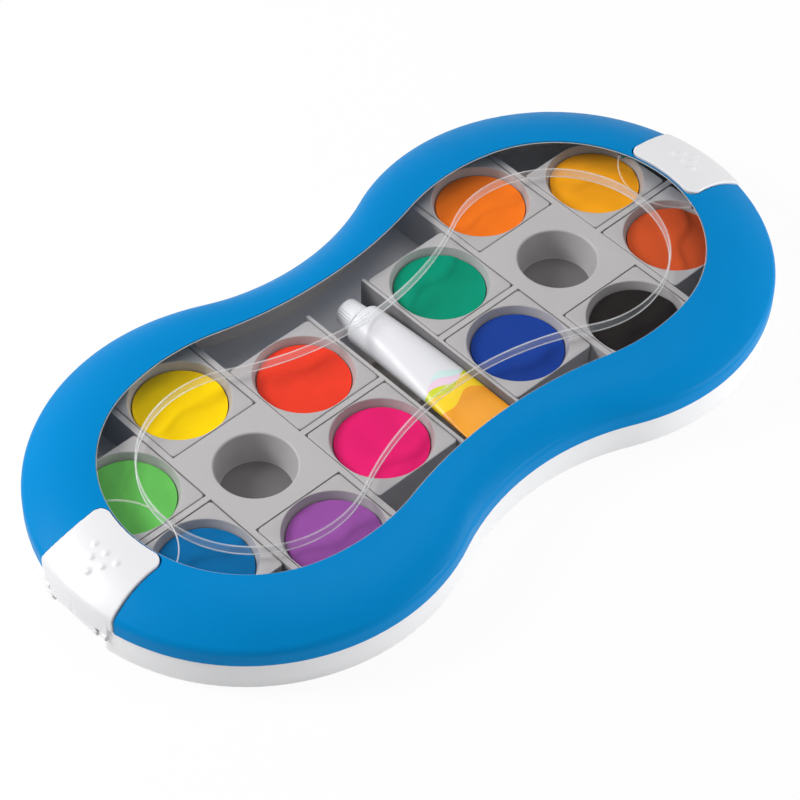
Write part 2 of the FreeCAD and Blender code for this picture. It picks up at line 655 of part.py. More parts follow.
def lid_window():
    top = CROWN_Z - WINDOW_DROP
    under = top - WINDOW_THICK
    flange_top = CROWN_Z - CROWN_WALL - WINDOW_SEAT
    flange_low = flange_top - WINDOW_FLANGE_THICK
    raised = slab(OPENING, WINDOW_GAP, flange_low, top)
    lip = [e for e in raised.Edges if min(v.Z for v in e.Vertexes) > top - 0.01]
    raised = raised.makeFillet(WINDOW_EDGE_R, lip)
    flange = slab(OPENING, -WINDOW_FLANGE, flange_low, flange_top)
    half = SEAT_HALF + FLANGE_BREAK_GAP
    for gap in both_ends(block(NOSE_X - 8, END_X, -half, half, 0, 60)):
        flange = flange.cut(gap)
    pane = raised.fuse(flange)
    pane = pane.cut(slab(OPENING, WINDOW_GAP + WINDOW_THICK, 0, under))
    bead = slab(PALETTE, 0, under - PALETTE_RIB_DEPTH, under + 0.5)
    bead = bead.cut(slab(PALETTE, PALETTE_RIB_WIDTH, 0, 60))
    ribs = [end_rib(1), end_rib(-1)]
    inside = slab(OPENING, WINDOW_GAP + 0.5, 0, 60)
    outside = slab(PALETTE, PALETTE_RIB_WIDTH / 2, 0, 60)
    thin = [rib.common(inside).cut(outside) for rib in ribs]
    thin = thin + [mirror_x(rib) for rib in thin]
    return fuse_all([pane, bead] + thin)


def build():
    """Every piece of the box by its node name."""
    clip = clip_solid()
    pieces = {
        "base_shell": base_shell(),
        "pan_tray": pan_tray(),
        "ribs_right": tray_ribs(1),
        "ribs_left": tray_ribs(-1),
        "mixing_well_right": mixing_well(1),
        "mixing_well_left": mixing_well(-1),
        "saddle_far": tube_saddle(SADDLE_FAR_Y),
        "saddle_near": tube_saddle(SADDLE_NEAR_Y),
        "lid_frame": lid_frame(),
        "lid_window": lid_window(),
        "clip_right": clip,
        "clip_left": mirror_x(clip),
        "tube_body": tube_body(),
        "tube_cap": tube_cap(),
    }
    for key, colour in COLOURS.items():
        pieces["pan_" + colour] = pan(key)
        pieces["paint_" + colour] = paint(key)
    return pieces


os.makedirs("parts", exist_ok=True)
for name, shape in build().items():
    shape.exportStep("parts/" + name + ".step")
    box = shape.BoundBox
    print("%-18s solids %d valid %s volume %.0f  x %.1f..%.1f y %.1f..%.1f z %.1f..%.1f" % (
        name, len(shape.Solids), shape.isValid(), shape.Volume,
        box.XMin, box.XMax, box.YMin, box.YMax, box.ZMin, box.ZMax))
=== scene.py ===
"""Looks of a two-lobed paint box: blue lid frame, clear window, white clips, pans of paint.

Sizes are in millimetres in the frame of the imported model: +X along the box, +Y to its far side and
+Z up from the table. Meshes are written in metres.
"""

import logging
import math
from dataclasses import dataclass, replace
from enum import Enum
from functools import cache

import bmesh
import bpy
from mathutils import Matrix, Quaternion, Vector
from mathutils.kdtree import KDTree


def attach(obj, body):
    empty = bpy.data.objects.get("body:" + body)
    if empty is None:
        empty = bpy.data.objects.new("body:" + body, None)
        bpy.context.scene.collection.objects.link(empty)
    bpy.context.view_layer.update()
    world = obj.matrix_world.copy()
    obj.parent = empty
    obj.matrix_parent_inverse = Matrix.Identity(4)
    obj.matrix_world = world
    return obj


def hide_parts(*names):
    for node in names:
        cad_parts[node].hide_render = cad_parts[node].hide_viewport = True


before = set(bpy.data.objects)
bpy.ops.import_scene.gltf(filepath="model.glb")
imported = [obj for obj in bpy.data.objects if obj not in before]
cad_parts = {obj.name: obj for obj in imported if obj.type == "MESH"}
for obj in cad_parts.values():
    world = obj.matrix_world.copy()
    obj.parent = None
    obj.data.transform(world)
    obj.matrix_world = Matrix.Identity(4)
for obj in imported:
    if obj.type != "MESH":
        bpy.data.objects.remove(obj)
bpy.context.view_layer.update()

MM = 0.001
LOG = logging.getLogger("paint_box")

Colour = tuple[float, float, float]
Loop = list[tuple[float, float, float]]
Point = tuple[float, float]
Socket = bpy.types.NodeSocket
Piece = bpy.types.Object
Material = bpy.types.Material
Value = float | Colour | Socket

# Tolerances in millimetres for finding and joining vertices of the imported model.
CLOSE = 0.05
NEAR = 0.1
WELD = 0.002

FACING = 0.9
CREASE = 35.0
BEVEL_STEPS = 3
BEVEL_ANGLE = 40.0
NOISE_LOW, NOISE_HIGH = 0.3, 0.7
SRGB_STEPS, SRGB_KNEE, SRGB_SLOPE, SRGB_LIFT, SRGB_POWER = 255, 0.04045, 12.92, 0.055, 2.4
PURE_WHITE = (1.0, 1.0, 1.0)
SIDES = ((1, "right"), (-1, "left"))
ROWS = ((1, "far"), (-1, "near"))


def linear(*steps: int) -> Colour:
    """Linear light of a colour.

    Args:
        steps: Red, green and blue in steps of 0 to 255.

    Returns:
        The three in shares of 1.
    """
    shares = [step / SRGB_STEPS for step in steps]
    return tuple(c / SRGB_SLOPE if c <= SRGB_KNEE
                 else ((c + SRGB_LIFT) / (1 + SRGB_LIFT)) ** SRGB_POWER for c in shares)


def quarter_turn(steps: int) -> list[float]:
    """Angles from 0 to 90 degrees in equal steps, in radians."""
    return [math.radians(90 * k / steps) for k in range(steps + 1)]


def full_turn(steps: int) -> list[float]:
    """Angles once round in equal steps, in radians."""
    return [math.tau * k / steps for k in range(steps)]


def rounded(corner: Point, start: Point, end: Point, steps: int) -> list[Point]:
    """Round a right-angled corner of a profile.

    Args:
        corner: The sharp corner.
        start: Step from the corner to where the rounding starts.
        end: Step from the corner to where the rounding ends.
        steps: Number of equal steps.

    Returns:
        The points from start to end.
    """
    points = []
    for a in quarter_turn(steps):
        back, ahead = 1 - math.sin(a), 1 - math.cos(a)
        points.append(tuple(c + s * back + e * ahead for c, s, e in zip(corner, start, end)))
    return points


class Body(Enum):
    """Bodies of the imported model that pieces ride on."""

    BASE = "base"
    LID = "lid"
    CLIP_LEFT = "clip_left"
    CLIP_RIGHT = "clip_right"
    TUBE_CAP = "tube_cap"


class NodeTree:
    """Short hand for building the nodes of a material or a world."""

    def __init__(self, name: str, world: bool = False) -> None:
        """Start with a surface shader and an output.

        Args:
            name: Name of the material or world.
            world: Whether it is a world.
        """
        self.owner = (bpy.data.worlds if world else bpy.data.materials).new(name)
        self.owner.use_nodes = True
        self.tree = self.owner.node_tree
        self.shader = self.tree.nodes["Background" if world else "Principled BSDF"]
        self.output = self.tree.nodes["World Output" if world else "Material Output"]
        self.coords = self.add("ShaderNodeTexCoord").outputs["Object"]

    def add(self, kind: str, **settings: object) -> bpy.types.Node:
        """Add a node and set its plain properties.

        Args:
            kind: Node type.
            settings: Properties of the node.

        Returns:
            The new node.
        """
        node = self.tree.nodes.new(kind)
        for key, value in settings.items():
            setattr(node, key, value)
        return node

    def join(self, source: Socket, target: Socket) -> None:
        """Link two sockets."""
        self.tree.links.new(source, target)

    def put(self, socket: Socket, value: Value) -> None:
        """Set an input, or link it.

        Args:
            socket: Input to fill.
            value: Number or colour, or a socket that gives one.
        """
        if isinstance(value, Socket):
            self.join(value, socket)
        else:
            socket.default_value = (*value, 1) if isinstance(value, tuple) else value

    def feed(self, label: str, value: Value) -> None:
        """Set or link one input of the surface shader."""
        self.put(self.shader.inputs[label], value)

    def calc(self, operation: str, *values: Value) -> Socket:
        """Add a math node.

        Args:
            operation: Its operation.
            values: Numbers, or sockets that give them.

        Returns:
            The result.
        """
        node = self.add("ShaderNodeMath", operation=operation)
        for socket, value in zip(node.inputs, values):
            self.put(socket, value)
        return node.outputs[0]

    def noise(self, size: float, detail: float) -> Socket:
        """Add a noise whose features are about this size in millimetres.

        Args:
            size: Size of one feature.
            detail: Octaves of finer noise.

        Returns:
            The noise value, about 0.2 to 0.8.
        """
        node = self.add("ShaderNodeTexNoise")
        node.inputs["Scale"].default_value = 1 / (size * MM)
        node.inputs["Detail"].default_value = detail
        self.join(self.coords, node.inputs["Vector"])
        return node.outputs["Fac"]

    def varied(self, size: float, low: float, high: float, detail: float = 3.0) -> Socket:
        """Add a noise that is stretched over a range.

        Args:
            size: Size of one feature in millimetres.
            low: Result where the noise is at NOISE_LOW.
            high: Result where the noise is at NOISE_HIGH.
            detail: Octaves of finer noise.

        Returns:
            The stretched value.
        """
        node = self.add("ShaderNodeMapRange")
        ends = {"From Min": NOISE_LOW, "From Max": NOISE_HIGH, "To Min": low, "To Max": high}
        for label, end in ends.items():
            self.put(node.inputs[label], end)
        self.join(self.noise(size, detail), node.inputs["Value"])
        return node.outputs["Result"]

    def blend(self, share: Socket, first: Value, second: Value) -> Socket:
        """Mix two colours.

        Args:
            share: Share of the second colour.
            first: Colour, or a socket that gives one.
            second: Colour, or a socket that gives one.

        Returns:
            The mixed colour.
        """
        node = self.add("ShaderNodeMix", data_type="RGBA")
        self.join(share, node.inputs["Factor"])
        for label, value in (("A", first), ("B", second)):
            self.put(next(s for s in node.inputs if s.name == label and s.type == "RGBA"), value)
        return next(s for s in node.outputs if s.type == "RGBA")

    def bump(self, size: float, depth: float, strength: float, detail: float = 2.0) -> Socket:
        """Turn a noise into a surface normal.

        Args:
            size: Size of one feature in millimetres.
            depth: Depth of the relief in millimetres.
            strength: Share of the relief that is used.
            detail: Octaves of finer noise.

        Returns:
            The normal.
        """
        node = self.add("ShaderNodeBump")
        node.inputs["Strength"].default_value = strength
        node.inputs["Distance"].default_value = depth * MM
        self.join(self.noise(size, detail), node.inputs["Height"])
        return node.outputs["Normal"]

    def show_white(self, kind: str, share: float) -> None:
        """Show white to rays from the camera, a reflection or a view through something.

        Args:
            kind: Type of the white shader's node.
            share: Share of white that such rays see.
        """
        path = self.add("ShaderNodeLightPath").outputs
        seen = path["Is Camera Ray"]
        for name in ("Is Glossy Ray", "Is Transmission Ray"):
            seen = self.calc("MAXIMUM", seen, path[name])
        white, mix = self.add(kind), self.add("ShaderNodeMixShader")
        self.put(white.inputs["Color"], PURE_WHITE)
        sources = (self.calc("MULTIPLY", seen, share), self.shader.outputs[0], white.outputs[0])
        for source, target in zip(sources, mix.inputs):
            self.join(source, target)
        self.join(mix.outputs[0], self.output.inputs["Surface"])


def tinted(colour: Colour, share: float) -> Colour:
    """Darken or lighten a linear colour by a factor, kept within 1."""
    return tuple(min(1.0, c * share) for c in colour)


@dataclass(frozen=True)
class MouldedPlastic:
    """Opaque moulded plastic with a fine spark-eroded grain and faint flow marks."""

    name: str
    colour: Colour
    roughness: float
    mottle: float = 0.03
    specular: float = 0.5
    flow_size: float = 26.0
    wear_size: float = 3.0
    wear: float = 0.04
    grain_size: float = 0.35
    grain_depth: float = 0.012
    grain_share: float = 0.6

    def build(self) -> Material:
        """Make the material.

        Returns:
            The finished material.
        """
        nodes = NodeTree(self.name)
        flow = nodes.varied(self.flow_size, 0.0, 1.0)
        low, high = tinted(self.colour, 1 - self.mottle), tinted(self.colour, 1 + self.mottle)
        nodes.feed("Base Color", nodes.blend(flow, low, high))
        low, high = self.roughness - self.wear, self.roughness + self.wear
        nodes.feed("Roughness", nodes.varied(self.wear_size, low, high, detail=4.0))
        nodes.feed("Normal", nodes.bump(self.grain_size, self.grain_depth, self.grain_share))
        nodes.feed("Specular IOR Level", self.specular)
        return nodes.owner


@dataclass(frozen=True)
class PaintCake:
    """Matt pressed pigment with fine grains and a slightly uneven tone."""

    name: str
    colour: Colour
    cloud_size: float = 9.0
    cloud: float = 0.06
    grain_size: float = 0.35
    speckle: float = 0.01
    pale_share: float = 0.8
    pale_lift: float = 0.16
    rough_size: float = 1.2
    roughness: tuple[float, float] = (0.72, 0.9)
    relief_size: float = 0.6
    relief_depth: float = 0.05
    relief_share: float = 0.55
    specular: float = 0.03

    def build(self) -> Material:
        """Make the material.

        Returns:
            The finished material.
        """
        nodes = NodeTree(self.name)
        cloud = nodes.varied(self.cloud_size, 0.0, 1.0)
        low, high = tinted(self.colour, 1 - self.cloud), tinted(self.colour, 1 + self.cloud)
        grain = nodes.varied(self.grain_size, 0.0, self.speckle)
        pale = tuple(min(1.0, c * self.pale_share + self.pale_lift) for c in self.colour)
        nodes.feed("Base Color", nodes.blend(grain, nodes.blend(cloud, low, high), pale))
        nodes.feed("Roughness", nodes.varied(self.rough_size, *self.roughness))
        normal = nodes.bump(self.relief_size, self.relief_depth, self.relief_share, detail=4.0)
        nodes.feed("Normal", normal)
        nodes.feed("Specular IOR Level", self.specular)
        return nodes.owner


@dataclass(frozen=True)
class ClearPlastic:
    """Clear polished plastic, seen through except for its own shine and a little milkiness; on the
    thin edge lines that milkiness is a painted highlight.
    """

    name: str
    haze_and_highlight: float
    roughness: float = 0.06
    tone: Colour = (0.93, 0.95, 0.96)
    swing: float = 0.2
    swing_size: float = 14.0
    rough_size: float = 5.0
    rough_swing: float = 0.3
    refraction: float = 1.49

    def build(self) -> Material:
        """Make the material.

        Returns:
            The finished material.
        """
        nodes = NodeTree(self.name)
        nodes.feed("Base Color", self.tone)
        for label, value, swing, size in (
                ("Alpha", self.haze_and_highlight, self.swing, self.swing_size),
                ("Roughness", self.roughness, self.rough_swing, self.rough_size)):
            nodes.feed(label, nodes.varied(size, value * (1 - swing), value * (1 + swing)))
        nodes.feed("IOR", self.refraction)
        return nodes.owner


@dataclass(frozen=True)
class Band:
    """Wavy band of print: its start along the tube, its colour and the phase of its edge."""

    start: float
    tone: Colour
    phase: float


@dataclass(frozen=True)
class PrintedLaminate:
    """Glossy white laminate printed with plain wavy bands of colour towards the tail."""

    name: str
    ground: Colour = linear(228, 228, 232)
    bands: tuple[Band, ...] = (
        Band(-11.0, linear(206, 232, 230), 0.9), Band(-12.6, linear(236, 206, 226), 2.1),
        Band(-14.4, linear(205, 216, 40), 3.3), Band(-16.2, linear(253, 214, 20), 4.6),
        Band(-21.5, linear(250, 165, 28), 6.0))
    wave_rate: float = 0.38
    wave_height: float = 1.5
    rough_size: float = 4.0
    roughness: tuple[float, float] = (0.30, 0.42)
    dent_size: float = 7.0
    dent_depth: float = 0.25
    dent_share: float = 0.4
    specular: float = 0.35

    def build(self) -> Material:
        """Make the material.

        Returns:
            The finished material.
        """
        nodes = NodeTree(self.name)
        parts = nodes.add("ShaderNodeSeparateXYZ")
        nodes.join(nodes.coords, parts.inputs["Vector"])
        across, along = parts.outputs["X"], parts.outputs["Y"]
        colour: Value = self.ground
        for band in self.bands:
            turn = nodes.calc("MULTIPLY_ADD", across, self.wave_rate / MM, band.phase)
            wave = nodes.calc("SINE", turn)
            edge = nodes.calc("MULTIPLY_ADD", wave, self.wave_height * MM, band.start * MM)
            colour = nodes.blend(nodes.calc("LESS_THAN", along, edge), colour, band.tone)
        nodes.feed("Base Color", colour)
        nodes.feed("Roughness", nodes.varied(self.rough_size, *self.roughness))
        nodes.feed("Normal", nodes.bump(self.dent_size, self.dent_depth, self.dent_share))
        nodes.feed("Specular IOR Level", self.specular)
        return nodes.owner


Finish = MouldedPlastic | PaintCake | ClearPlastic | PrintedLaminate

FRAME_BLUE = MouldedPlastic("blue_satin", linear(0, 129, 195), 0.40, 0.02, 0.045)
WHITE = MouldedPlastic("white_satin", linear(235, 235, 236), 0.36, 0.012)
# The base's white plastic painted darker for the clips and the cap, to tone down the strong light on
# them: painted shade.
WHITE_PAINTED_SHADE = MouldedPlastic("clip_white", linear(225, 225, 227), 0.36, 0.012)
TRAY_GREY = MouldedPlastic("tray_grey", linear(179, 176, 177), 0.55, 0.02)
PAN_GREY = MouldedPlastic("pan_grey", linear(175, 172, 173), 0.55, 0.02)
# Tray floor and saddles: the partitions' grey moulding painted lighter and warmer to lift the shade
# in the deep pockets, which is painted light.
TRAY_FLOOR_PAINTED_LIGHT = MouldedPlastic("tray_floor_painted_light", linear(220, 214, 210), 0.6, 0.02)
# Dark grey on the floors of the mixing wells: painted shade, the tray's grey moulding darkened as if
# in shadow.
WELL_FLOOR_PAINTED_SHADE = MouldedPlastic("well_floor_painted_shade", linear(108, 106, 107), 0.6, specular=0.1)
# Darker grey on the walls of the tube's channel: painted shade where the tube shades them.
CHANNEL_WALL_PAINTED_SHADE = MouldedPlastic("channel_wall_painted_shade", linear(128, 126, 127), 0.6, specular=0.1)
PANE = ClearPlastic("window_pane", 0.003)
# Milky band of the palette rib: partly the rib's own milkiness, partly painted reflection, stronger
# and fainter along it at random.
RIB_MILK_AND_REFLECTION = ClearPlastic("window_rib", 0.17, 0.1, swing=0.6, swing_size=30.0)
# Whitish lines along the rib's lower and upper edges and the window's rim: painted highlights,
# brighter and fainter along them at random.
LOW_EDGE_PAINTED_HIGHLIGHT = ClearPlastic("window_edge_low_painted_highlight", 0.52, 0.12, swing=0.6, swing_size=24.0)
HIGH_EDGE_PAINTED_HIGHLIGHT = ClearPlastic("window_edge_high_painted_highlight", 0.32, 0.12, swing=0.7, swing_size=24.0)
RIM_PAINTED_HIGHLIGHT = ClearPlastic("window_rim_painted_highlight", 0.42, 0.12, (0.80, 0.76, 0.70))
# Thin end ribs: their own milky look plus a painted highlight, with the left one painted brighter
# than the right as the light falls.
THIN_RIGHT_PAINTED_HIGHLIGHT = ClearPlastic("window_thin_rib_right_painted_highlight", 0.18, 0.12, (0.95, 0.92, 0.88), 0.5, 10.0)
THIN_LEFT_PAINTED_HIGHLIGHT = ClearPlastic("window_thin_rib_left_painted_highlight", 0.3, 0.12, (0.95, 0.92, 0.88), 0.5, 10.0)
TUBE_PRINT = PrintedLaminate("tube_print")


@cache
def material_of(finish: Finish) -> Material:
    """Material of a finish, made once."""
    return finish.build()


def new_object(name: str, mesh: bpy.types.Mesh) -> Piece:
    """Put a mesh into the scene.

    Args:
        name: Name of the piece.
        mesh: Mesh in metres.

    Returns:
        The new object.
    """
    piece = bpy.data.objects.new(name, mesh)
    bpy.context.scene.collection.objects.link(piece)
    return piece


def shade(mesh: bpy.types.Mesh, crease: float = CREASE) -> None:
    """Shade a mesh smooth except at edges sharper than an angle in degrees."""
    mesh.shade_smooth()
    mesh.set_sharp_from_angle(angle=math.radians(crease))


def skin(name: str, loops: list[Loop], wrap: bool = False, crease: float = CREASE) -> Piece:
    """Stretch a skin of quads over closed loops of equal count.

    Args:
        name: Name of the piece.
        loops: Loops of points in millimetres.
        wrap: Whether the last loop joins the first, instead of a face closing each of them.
        crease: Angle in degrees above which an edge stays sharp.

    Returns:
        The new object.
    """
    count = len(loops[0])
    verts = [tuple(c * MM for c in point) for loop in loops for point in loop]
    faces: list[tuple[int, ...]] = []
    rows = len(loops) if wrap else len(loops) - 1
    for row in range(rows):
        low = row * count
        high = ((row + 1) % len(loops)) * count
        for i in range(count):
            j = (i + 1) % count
            faces.append((low + i, low + j, high + j, high + i))
    if not wrap:
        last = (len(loops) - 1) * count
        faces += [tuple(reversed(range(count))), tuple(range(last, last + count))]
    mesh = bpy.data.meshes.new(name)
    mesh.from_pydata(verts, [], faces)
    work = bmesh.new()
    work.from_mesh(mesh)
    bmesh.ops.recalc_face_normals(work, faces=work.faces)
    work.to_mesh(mesh)
    work.free()
    shade(mesh, crease)
    return new_object(name, mesh)


def copy_of(name: str, node: str) -> Piece:
    """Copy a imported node's mesh into a new piece.

    Args:
        name: Name of the piece.
        node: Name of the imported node.

    Returns:
        The new object, with shading of its own.
    """
    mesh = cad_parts[node].data.copy()
    mesh.materials.clear()
    work = bmesh.new()
    work.from_mesh(mesh)
    bmesh.ops.remove_doubles(work, verts=work.verts, dist=WELD * MM)
    work.to_mesh(mesh)
    work.free()
    if mesh.has_custom_normals:
        mesh.attributes.remove(mesh.attributes["custom_normal"])
    return new_object(name, mesh)


def settle(piece: Piece, crease: float = CREASE) -> None:
    """Turn a piece's modifiers into its mesh.

    Args:
        piece: Piece with modifiers.
        crease: Angle in degrees above which an edge stays sharp.
    """
    graph = bpy.context.evaluated_depsgraph_get()
    mesh = bpy.data.meshes.new_from_object(piece.evaluated_get(graph))
    piece.modifiers.clear()
    piece.data = mesh
    shade(mesh, crease)


def soften(piece: Piece, radius: float, crease: float = 30.0) -> None:
    """Round the sharp edges of a piece a little, as a moulding has them.

    Args:
        piece: Piece to round.
        radius: Width of the rounding in millimetres.
        crease: Angle in degrees above which an edge stays sharp in shading.
    """
    bevel = piece.modifiers.new("edges", "BEVEL")
    bevel.width = radius * MM
    bevel.segments = BEVEL_STEPS
    bevel.limit_method = "ANGLE"
    bevel.angle_limit = math.radians(BEVEL_ANGLE)
    bevel.use_clamp_overlap = True
    settle(piece, crease)


def dress(piece: Piece, *finishes: Finish) -> None:
    """Give a piece its finishes.

    Args:
        piece: Piece to dress.
        finishes: Finishes in the order of the mesh's slots.
    """
    piece.data.materials.clear()
    for finish in finishes:
        piece.data.materials.append(material_of(finish))


def place(piece: Piece, body: Body, slot: str, *nodes: str) -> None:
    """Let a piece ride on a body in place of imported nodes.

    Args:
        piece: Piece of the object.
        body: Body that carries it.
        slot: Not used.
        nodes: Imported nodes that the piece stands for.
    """
    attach(piece, body.value)
    if nodes:
        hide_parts(*nodes)
    LOG.info("%s on %s, %d faces", piece.name, body.value, len(piece.data.polygons))


def fit(piece: Piece, finish: Finish, body: Body, slot: str, *nodes: str) -> None:
    """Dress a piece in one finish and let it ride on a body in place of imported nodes."""
    dress(piece, finish)
    place(piece, body, slot, *nodes)


@dataclass(frozen=True)
class LobedOutline:
    """Two-lobed outline of tangent arcs: an end arc, a shoulder and a waist in every quarter."""

    end_x: float
    end_r: float
    sweep: float
    shoulder_r: float
    waist: float
    steps: tuple[int, int, int] = (26, 26, 18)

    def quarter(self, inset: float) -> list[Point]:
        """Points of the quarter with positive x and y, from the end to the waist.

        Args:
            inset: How far the outline is drawn in.

        Returns:
            The points, with both ends.
        """
        end_r = self.end_r - inset
        shoulder_r = self.shoulder_r - inset
        waist = self.waist - inset
        turn = math.radians(self.sweep)
        sx = self.end_x + (end_r - shoulder_r) * math.cos(turn)
        sy = (end_r - shoulder_r) * math.sin(turn)
        rise = waist - sy
        waist_r = (sx**2 + rise**2 - shoulder_r**2) / (2 * (shoulder_r - rise))
        waist_y = waist + waist_r
        last = math.atan2(waist_y - sy, -sx)

        def arc(x: float, y: float, radius: float, start: float, end: float,
                count: int) -> list[Point]:
            """Points on an arc from its start up to its end, without the end."""
            angles = [start + (end - start) * k / count for k in range(count)]
            return [(x + radius * math.cos(a), y + radius * math.sin(a)) for a in angles]

        points = arc(self.end_x, 0, end_r, 0, turn, self.steps[0])
        points += arc(sx, sy, shoulder_r, turn, last, self.steps[1])
        points += arc(0, waist_y, waist_r, last - math.pi, -math.pi / 2, self.steps[2])
        return [*points, (0.0, waist)]

    def loop(self, inset: float, z: float) -> Loop:
        """Whole outline at a height.

        Args:
            inset: How far the outline is drawn in.
            z: Height of the loop.

        Returns:
            The closed loop, counter-clockwise from the right end.
        """
        quarter = self.quarter(inset)
        back = quarter[::-1]
        points = quarter + [(-x, y) for x, y in back[1:]]
        points += [(-x, -y) for x, y in quarter[1:]]
        points += [(x, -y) for x, y in back[1:-1]]
        return [(x, y, z) for x, y in points]


OPENING = LobedOutline(67.6, 46.97, 76.0, 73.57, 39.6)
OUTER = LobedOutline(68.0, 69.87, 50.9, 71.77, 55.5)
PALETTE = LobedOutline(66.2, 36.47, 60.0, 36.47, 20.0)
HINGE_X = 136.27
HINGE_Z = 8.0


class HingeSpot:
    """Place of a vertex about the nearer hinge line, as it was before any move."""

    def __init__(self, vertex: bpy.types.MeshVertex) -> None:
        """Work out the place in millimetres.

        Args:
            vertex: Vertex of a mesh in metres.
        """
        self.vertex = vertex
        self.out = abs(vertex.co.x) / MM - HINGE_X
        self.up = vertex.co.z / MM - HINGE_Z
        self.across = abs(vertex.co.y) / MM
        self.reach = math.hypot(self.out, self.up)

    def draw_in(self, radius: float) -> None:
        """Move the vertex to a distance from the hinge line.

        Args:
            radius: The distance.
        """
        share = radius / self.reach
        self.vertex.co.x = math.copysign((HINGE_X + self.out * share) * MM, self.vertex.co.x)
        self.vertex.co.z = (HINGE_Z + self.up * share) * MM

    def slide(self, across: float) -> None:
        """Move the vertex along the hinge line to a distance from the middle of the box."""
        self.vertex.co.y = math.copysign(across * MM, self.vertex.co.y)


@dataclass
class Case:
    """Base shell with soft edges, and lid frame with a thin edge at the window."""

    soft_edge: float = 0.4
    edge_z: Point = (15.0, 24.0)
    edge_thin_z: float = 24.7
    edge_reach: float = 0.3
    edge_steps: tuple[int, int, int] = (200, 200, 140)
    lug_r: float = 2.1
    lug_slim_r: float = 1.15
    lug_socket_r: float = 1.5
    lug_root: float = -3.8
    lug_y: Point = (8.4, 14.4)
    lug_start: float = 8.5
    lug_short_start: float = 12.5
    lug_outer_y: float = 14.1
    lug_end: float = 14.0
    wall_inset: float = 0.29
    foot_r: float = 2.0
    cheek_low: float = 0.02
    cheek_top: float = 9.4
    cheek_back: float = 132.0
    cheek_r: float = 1.0
    cheek_stations: tuple[Point, ...] = (
        (0.0, 0.25), (0.08, 0.08), (0.25, 0.0), (1.2, 0.0), (2.0, 0.0), (2.7, 0.0))

    def build(self) -> None:
        """Make the base shell with its cheeks, and the lid frame."""
        shell = copy_of("base_moulding", "base_shell")
        self.slim_lugs(shell)
        soften(shell, self.soft_edge)
        fit(shell, WHITE, Body.BASE, "base_white", "base_shell")
        for side, end in SIDES:
            for row, edge in ROWS:
                cheek = self.cheek(f"hinge_cheek_{end}_{edge}", side, row)
                fit(cheek, WHITE, Body.BASE, "base_white")
        fit(self.ring(), FRAME_BLUE, Body.LID, "frame_blue", "lid_frame")

    def ring(self) -> Piece:
        """Lid frame whose wall round the window is thinner at its edge.

        Returns:
            The new piece.
        """
        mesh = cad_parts["lid_frame"].data.copy()
        line = replace(OPENING, steps=self.edge_steps).loop(0, 0)
        near = KDTree(len(line))
        for i, point in enumerate(line):
            near.insert(point, i)
        near.balance()
        for vertex in mesh.vertices:
            x, y, z = vertex.co / MM
            inside = self.edge_z[0] < z < self.edge_z[1]
            if inside and near.find((x, y, 0))[2] < self.edge_reach:
                vertex.co.z = self.edge_thin_z * MM
        return new_object("frame_moulding", mesh)

    def slim_lugs(self, shell: Piece) -> None:
        """Shorten the hinge lugs and draw them in towards the hinge line.

        Args:
            shell: Base shell.
        """
        for vertex in shell.data.vertices:
            spot = HingeSpot(vertex)
            if (spot.out > self.lug_root and spot.up < self.lug_r + CLOSE
                    and abs(spot.across - self.lug_start) < CLOSE):
                spot.slide(self.lug_short_start)
            if not (self.lug_y[0] < spot.across < self.lug_y[1] and spot.out > -CLOSE
                    and spot.reach < self.lug_r + NEAR):
                continue
            if spot.reach > self.lug_socket_r:
                spot.draw_in(self.lug_slim_r)
            if spot.across > self.lug_outer_y:
                spot.slide(self.lug_end)

    def cheek(self, name: str, side: int, row: int) -> Piece:
        """Short end of the base wall that closes the notch beside a lug.

        Args:
            name: Name of the piece.
            side: Side along X.
            row: Side along Y.

        Returns:
            The new piece.
        """
        loops = []
        for step, inset in self.cheek_stations:
            y = self.lug_short_start + step
            wall = OUTER.end_r - self.wall_inset
            front = OUTER.end_x + math.sqrt(wall**2 - y**2) - inset
            top, low = self.cheek_top - inset, self.cheek_low + inset
            profile = [(self.cheek_back, low)]
            profile += rounded((front, low), (-self.foot_r, 0), (0, self.foot_r), steps=6)
            profile += rounded((front, top), (0, -self.cheek_r), (-self.cheek_r, 0), steps=5)
            profile.append((self.cheek_back, top))
            loops.append([(side * x, row * y, z) for x, z in profile])
        return skin(name, loops)


